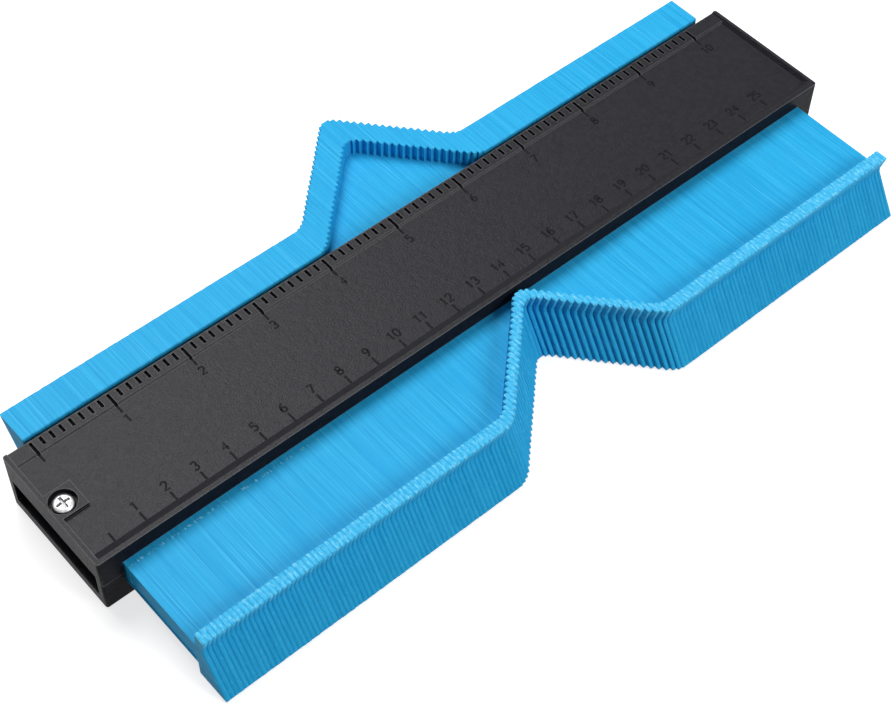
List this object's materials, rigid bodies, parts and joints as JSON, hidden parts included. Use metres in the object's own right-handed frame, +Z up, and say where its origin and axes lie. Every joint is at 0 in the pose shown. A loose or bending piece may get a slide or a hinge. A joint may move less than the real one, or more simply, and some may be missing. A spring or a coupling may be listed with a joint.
{
  "type": "contour gauge",
  "caption": "Contour gauge with a slotted ruler case that holds a pack of thin sliding leaves, pushed in to copy the outline of a corner.",
  "frame": {"origin": "on the table, under the middle of the case and of the leaves' reach at rest", "axes": "+X along the case from the end with the upper screw, +Y along the leaves' travel from the pushed edge to the far edge, +Z up"},
  "size_m": [0.277, 0.132, 0.0215],
  "materials": {
    "case": "fine-textured black moulded plastic",
    "leaf": "satin sky-blue moulded plastic",
    "friction_strip": "dense dark felt",
    "screw": "bright zinc-plated steel"
  },
  "bodies": {
    "case": {"upper_case": "case", "lower_case": "case", "upper_friction_strip": "friction_strip", "lower_friction_strip": "friction_strip", "left_screw": "screw", "right_screw": "screw"},
    "leaf_group_01": {"leaf_group_01": "leaf"},
    "leaf_group_02": {"leaf_group_02": "leaf"},
    "leaf_group_03": {"leaf_group_03": "leaf"},
    "leaf_group_04": {"leaf_group_04": "leaf"},
    "leaf_group_05": {"leaf_group_05": "leaf"},
    "leaf_group_06": {"leaf_group_06": "leaf"},
    "leaf_group_07": {"leaf_group_07": "leaf"},
    "leaf_group_08": {"leaf_group_08": "leaf"},
    "leaf_group_09": {"leaf_group_09": "leaf"},
    "leaf_group_10": {"leaf_group_10": "leaf"},
    "leaf_group_11": {"leaf_group_11": "leaf"},
    "leaf_group_12": {"leaf_group_12": "leaf"},
    "leaf_group_13": {"leaf_group_13": "leaf"},
    "leaf_group_14": {"leaf_group_14": "leaf"},
    "leaf_group_15": {"leaf_group_15": "leaf"},
    "leaf_group_16": {"leaf_group_16": "leaf"},
    "leaf_group_17": {"leaf_group_17": "leaf"},
    "leaf_group_18": {"leaf_group_18": "leaf"},
    "leaf_group_19": {"leaf_group_19": "leaf"},
    "leaf_group_20": {"leaf_group_20": "leaf"},
    "leaf_group_21": {"leaf_group_21": "leaf"},
    "leaf_group_22": {"leaf_group_22": "leaf"},
    "leaf_group_23": {"leaf_group_23": "leaf"},
    "leaf_group_24": {"leaf_group_24": "leaf"},
    "leaf_group_25": {"leaf_group_25": "leaf"},
    "leaf_group_26": {"leaf_group_26": "leaf"},
    "leaf_group_27": {"leaf_group_27": "leaf"},
    "leaf_group_28": {"leaf_group_28": "leaf"},
    "leaf_group_29": {"leaf_group_29": "leaf"},
    "leaf_group_30": {"leaf_group_30": "leaf"},
    "leaf_group_31": {"leaf_group_31": "leaf"},
    "leaf_group_32": {"leaf_group_32": "leaf"},
    "leaf_group_33": {"leaf_group_33": "leaf"},
    "leaf_group_34": {"leaf_group_34": "leaf"},
    "leaf_group_35": {"leaf_group_35": "leaf"},
    "leaf_group_36": {"leaf_group_36": "leaf"},
    "leaf_group_37": {"leaf_group_37": "leaf"},
    "leaf_group_38": {"leaf_group_38": "leaf"},
    "leaf_group_39": {"leaf_group_39": "leaf"},
    "leaf_group_40": {"leaf_group_40": "leaf"},
    "leaf_group_41": {"leaf_group_41": "leaf"},
    "leaf_group_42": {"leaf_group_42": "leaf"},
    "leaf_group_43": {"leaf_group_43": "leaf"},
    "leaf_group_44": {"leaf_group_44": "leaf"}
  },
  "joints": [
    {"name": "leaf_group_01_slide", "type": "slide", "parent": "case", "child": "leaf_group_01", "axis": [0, 1, 0], "range_m": [-0.00135, 0.03185]},
    {"name": "leaf_group_02_slide", "type": "slide", "parent": "case", "child": "leaf_group_02", "axis": [0, 1, 0], "range_m": [-0.00135, 0.03185]},
    {"name": "leaf_group_03_slide", "type": "slide", "parent": "case", "child": "leaf_group_03", "axis": [0, 1, 0], "range_m": [-0.00135, 0.03185]},
    {"name": "leaf_group_04_slide", "type": "slide", "parent": "case", "child": "leaf_group_04", "axis": [0, 1, 0], "range_m": [-0.00135, 0.03185]},
    {"name": "leaf_group_05_slide", "type": "slide", "parent": "case", "child": "leaf_group_05", "axis": [0, 1, 0], "range_m": [-0.00135, 0.03185]},
    {"name": "leaf_group_06_slide", "type": "slide", "parent": "case", "child": "leaf_group_06", "axis": [0, 1, 0], "range_m": [-0.00135, 0.03185]},
    {"name": "leaf_group_07_slide", "type": "slide", "parent": "case", "child": "leaf_group_07", "axis": [0, 1, 0], "range_m": [-0.00135, 0.03185]},
    {"name": "leaf_group_08_slide", "type": "slide", "parent": "case", "child": "leaf_group_08", "axis": [0, 1, 0], "range_m": [-0.00135, 0.03185]},
    {"name": "leaf_group_09_slide", "type": "slide", "parent": "case", "child": "leaf_group_09", "axis": [0, 1, 0], "range_m": [-0.00135, 0.03185]},
    {"name": "leaf_group_10_slide", "type": "slide", "parent": "case", "child": "leaf_group_10", "axis": [0, 1, 0], "range_m": [-0.00135, 0.03185]},
    {"name": "leaf_group_11_slide", "type": "slide", "parent": "case", "child": "leaf_group_11", "axis": [0, 1, 0], "range_m": [-0.00135, 0.03185]},
    {"name": "leaf_group_12_slide", "type": "slide", "parent": "case", "child": "leaf_group_12", "axis": [0, 1, 0], "range_m": [-0.00135, 0.03185]},
    {"name": "leaf_group_13_slide", "type": "slide", "parent": "case", "child": "leaf_group_13", "axis": [0, 1, 0], "range_m": [-0.00135, 0.03185]},
    {"name": "leaf_group_14_slide", "type": "slide", "parent": "case", "child": "leaf_group_14", "axis": [0, 1, 0], "range_m": [-0.00135, 0.03185]},
    {"name": "leaf_group_15_slide", "type": "slide", "parent": "case", "child": "leaf_group_15", "axis": [0, 1, 0], "range_m": [-0.00135, 0.03185]},
    {"name": "leaf_group_16_slide", "type": "slide", "parent": "case", "child": "leaf_group_16", "axis": [0, 1, 0], "range_m": [-0.00135, 0.03185]},
    {"name": "leaf_group_17_slide", "type": "slide", "parent": "case", "child": "leaf_group_17", "axis": [0, 1, 0], "range_m": [-0.00135, 0.03185]},
    {"name": "leaf_group_18_slide", "type": "slide", "parent": "case", "child": "leaf_group_18", "axis": [0, 1, 0], "range_m": [-0.00135, 0.03065]},
    {"name": "leaf_group_19_slide", "type": "slide", "parent": "case", "child": "leaf_group_19", "axis": [0, 1, 0], "range_m": [-0.00363, 0.02528]},
    {"name": "leaf_group_20_slide", "type": "slide", "parent": "case", "child": "leaf_group_20", "axis": [0, 1, 0], "range_m": [-0.00936, 0.01951]},
    {"name": "leaf_group_21_slide", "type": "slide", "parent": "case", "child": "leaf_group_21", "axis": [0, 1, 0], "range_m": [-0.01513, 0.01373]},
    {"name": "leaf_group_22_slide", "type": "slide", "parent": "case", "child": "leaf_group_22", "axis": [0, 1, 0], "range_m": [-0.02091, 0.00796]},
    {"name": "leaf_group_23_slide", "type": "slide", "parent": "case", "child": "leaf_group_23", "axis": [0, 1, 0], "range_m": [-0.02669, 0.00226]},
    {"name": "leaf_group_24_slide", "type": "slide", "parent": "case", "child": "leaf_group_24", "axis": [0, 1, 0], "range_m": [-0.02946, 0.00152]},
    {"name": "leaf_group_25_slide", "type": "slide", "parent": "case", "child": "leaf_group_25", "axis": [0, 1, 0], "range_m": [-0.02263, 0.00544]},
    {"name": "leaf_group_26_slide", "type": "slide", "parent": "case", "child": "leaf_group_26", "axis": [0, 1, 0], "range_m": [-0.0158, 0.01228]},
    {"name": "leaf_group_27_slide", "type": "slide", "parent": "case", "child": "leaf_group_27", "axis": [0, 1, 0], "range_m": [-0.00897, 0.01911]},
    {"name": "leaf_group_28_slide", "type": "slide", "parent": "case", "child": "leaf_group_28", "axis": [0, 1, 0], "range_m": [-0.00254, 0.02594]},
    {"name": "leaf_group_29_slide", "type": "slide", "parent": "case", "child": "leaf_group_29", "axis": [0, 1, 0], "range_m": [-0.00135, 0.03149]},
    {"name": "leaf_group_30_slide", "type": "slide", "parent": "case", "child": "leaf_group_30", "axis": [0, 1, 0], "range_m": [-0.00135, 0.03185]},
    {"name": "leaf_group_31_slide", "type": "slide", "parent": "case", "child": "leaf_group_31", "axis": [0, 1, 0], "range_m": [-0.00135, 0.03185]},
    {"name": "leaf_group_32_slide", "type": "slide", "parent": "case", "child": "leaf_group_32", "axis": [0, 1, 0], "range_m": [-0.00135, 0.03185]},
    {"name": "leaf_group_33_slide", "type": "slide", "parent": "case", "child": "leaf_group_33", "axis": [0, 1, 0], "range_m": [-0.00135, 0.03185]},
    {"name": "leaf_group_34_slide", "type": "slide", "parent": "case", "child": "leaf_group_34", "axis": [0, 1, 0], "range_m": [-0.00135, 0.03185]},
    {"name": "leaf_group_35_slide", "type": "slide", "parent": "case", "child": "leaf_group_35", "axis": [0, 1, 0], "range_m": [-0.00135, 0.03185]},
    {"name": "leaf_group_36_slide", "type": "slide", "parent": "case", "child": "leaf_group_36", "axis": [0, 1, 0], "range_m": [-0.00135, 0.03185]},
    {"name": "leaf_group_37_slide", "type": "slide", "parent": "case", "child": "leaf_group_37", "axis": [0, 1, 0], "range_m": [-0.00135, 0.03185]},
    {"name": "leaf_group_38_slide", "type": "slide", "parent": "case", "child": "leaf_group_38", "axis": [0, 1, 0], "range_m": [-0.00135, 0.03185]},
    {"name": "leaf_group_39_slide", "type": "slide", "parent": "case", "child": "leaf_group_39", "axis": [0, 1, 0], "range_m": [-0.00135, 0.03185]},
    {"name": "leaf_group_40_slide", "type": "slide", "parent": "case", "child": "leaf_group_40", "axis": [0, 1, 0], "range_m": [-0.00135, 0.03185]},
    {"name": "leaf_group_41_slide", "type": "slide", "parent": "case", "child": "leaf_group_41", "axis": [0, 1, 0], "range_m": [-0.00135, 0.03185]},
    {"name": "leaf_group_42_slide", "type": "slide", "parent": "case", "child": "leaf_group_42", "axis": [0, 1, 0], "range_m": [-0.00135, 0.03185]},
    {"name": "leaf_group_43_slide", "type": "slide", "parent": "case", "child": "leaf_group_43", "axis": [0, 1, 0], "range_m": [-0.00135, 0.03185]},
    {"name": "leaf_group_44_slide", "type": "slide", "parent": "case", "child": "leaf_group_44", "axis": [0, 1, 0], "range_m": [-0.00135, 0.03185]}
  ]
}
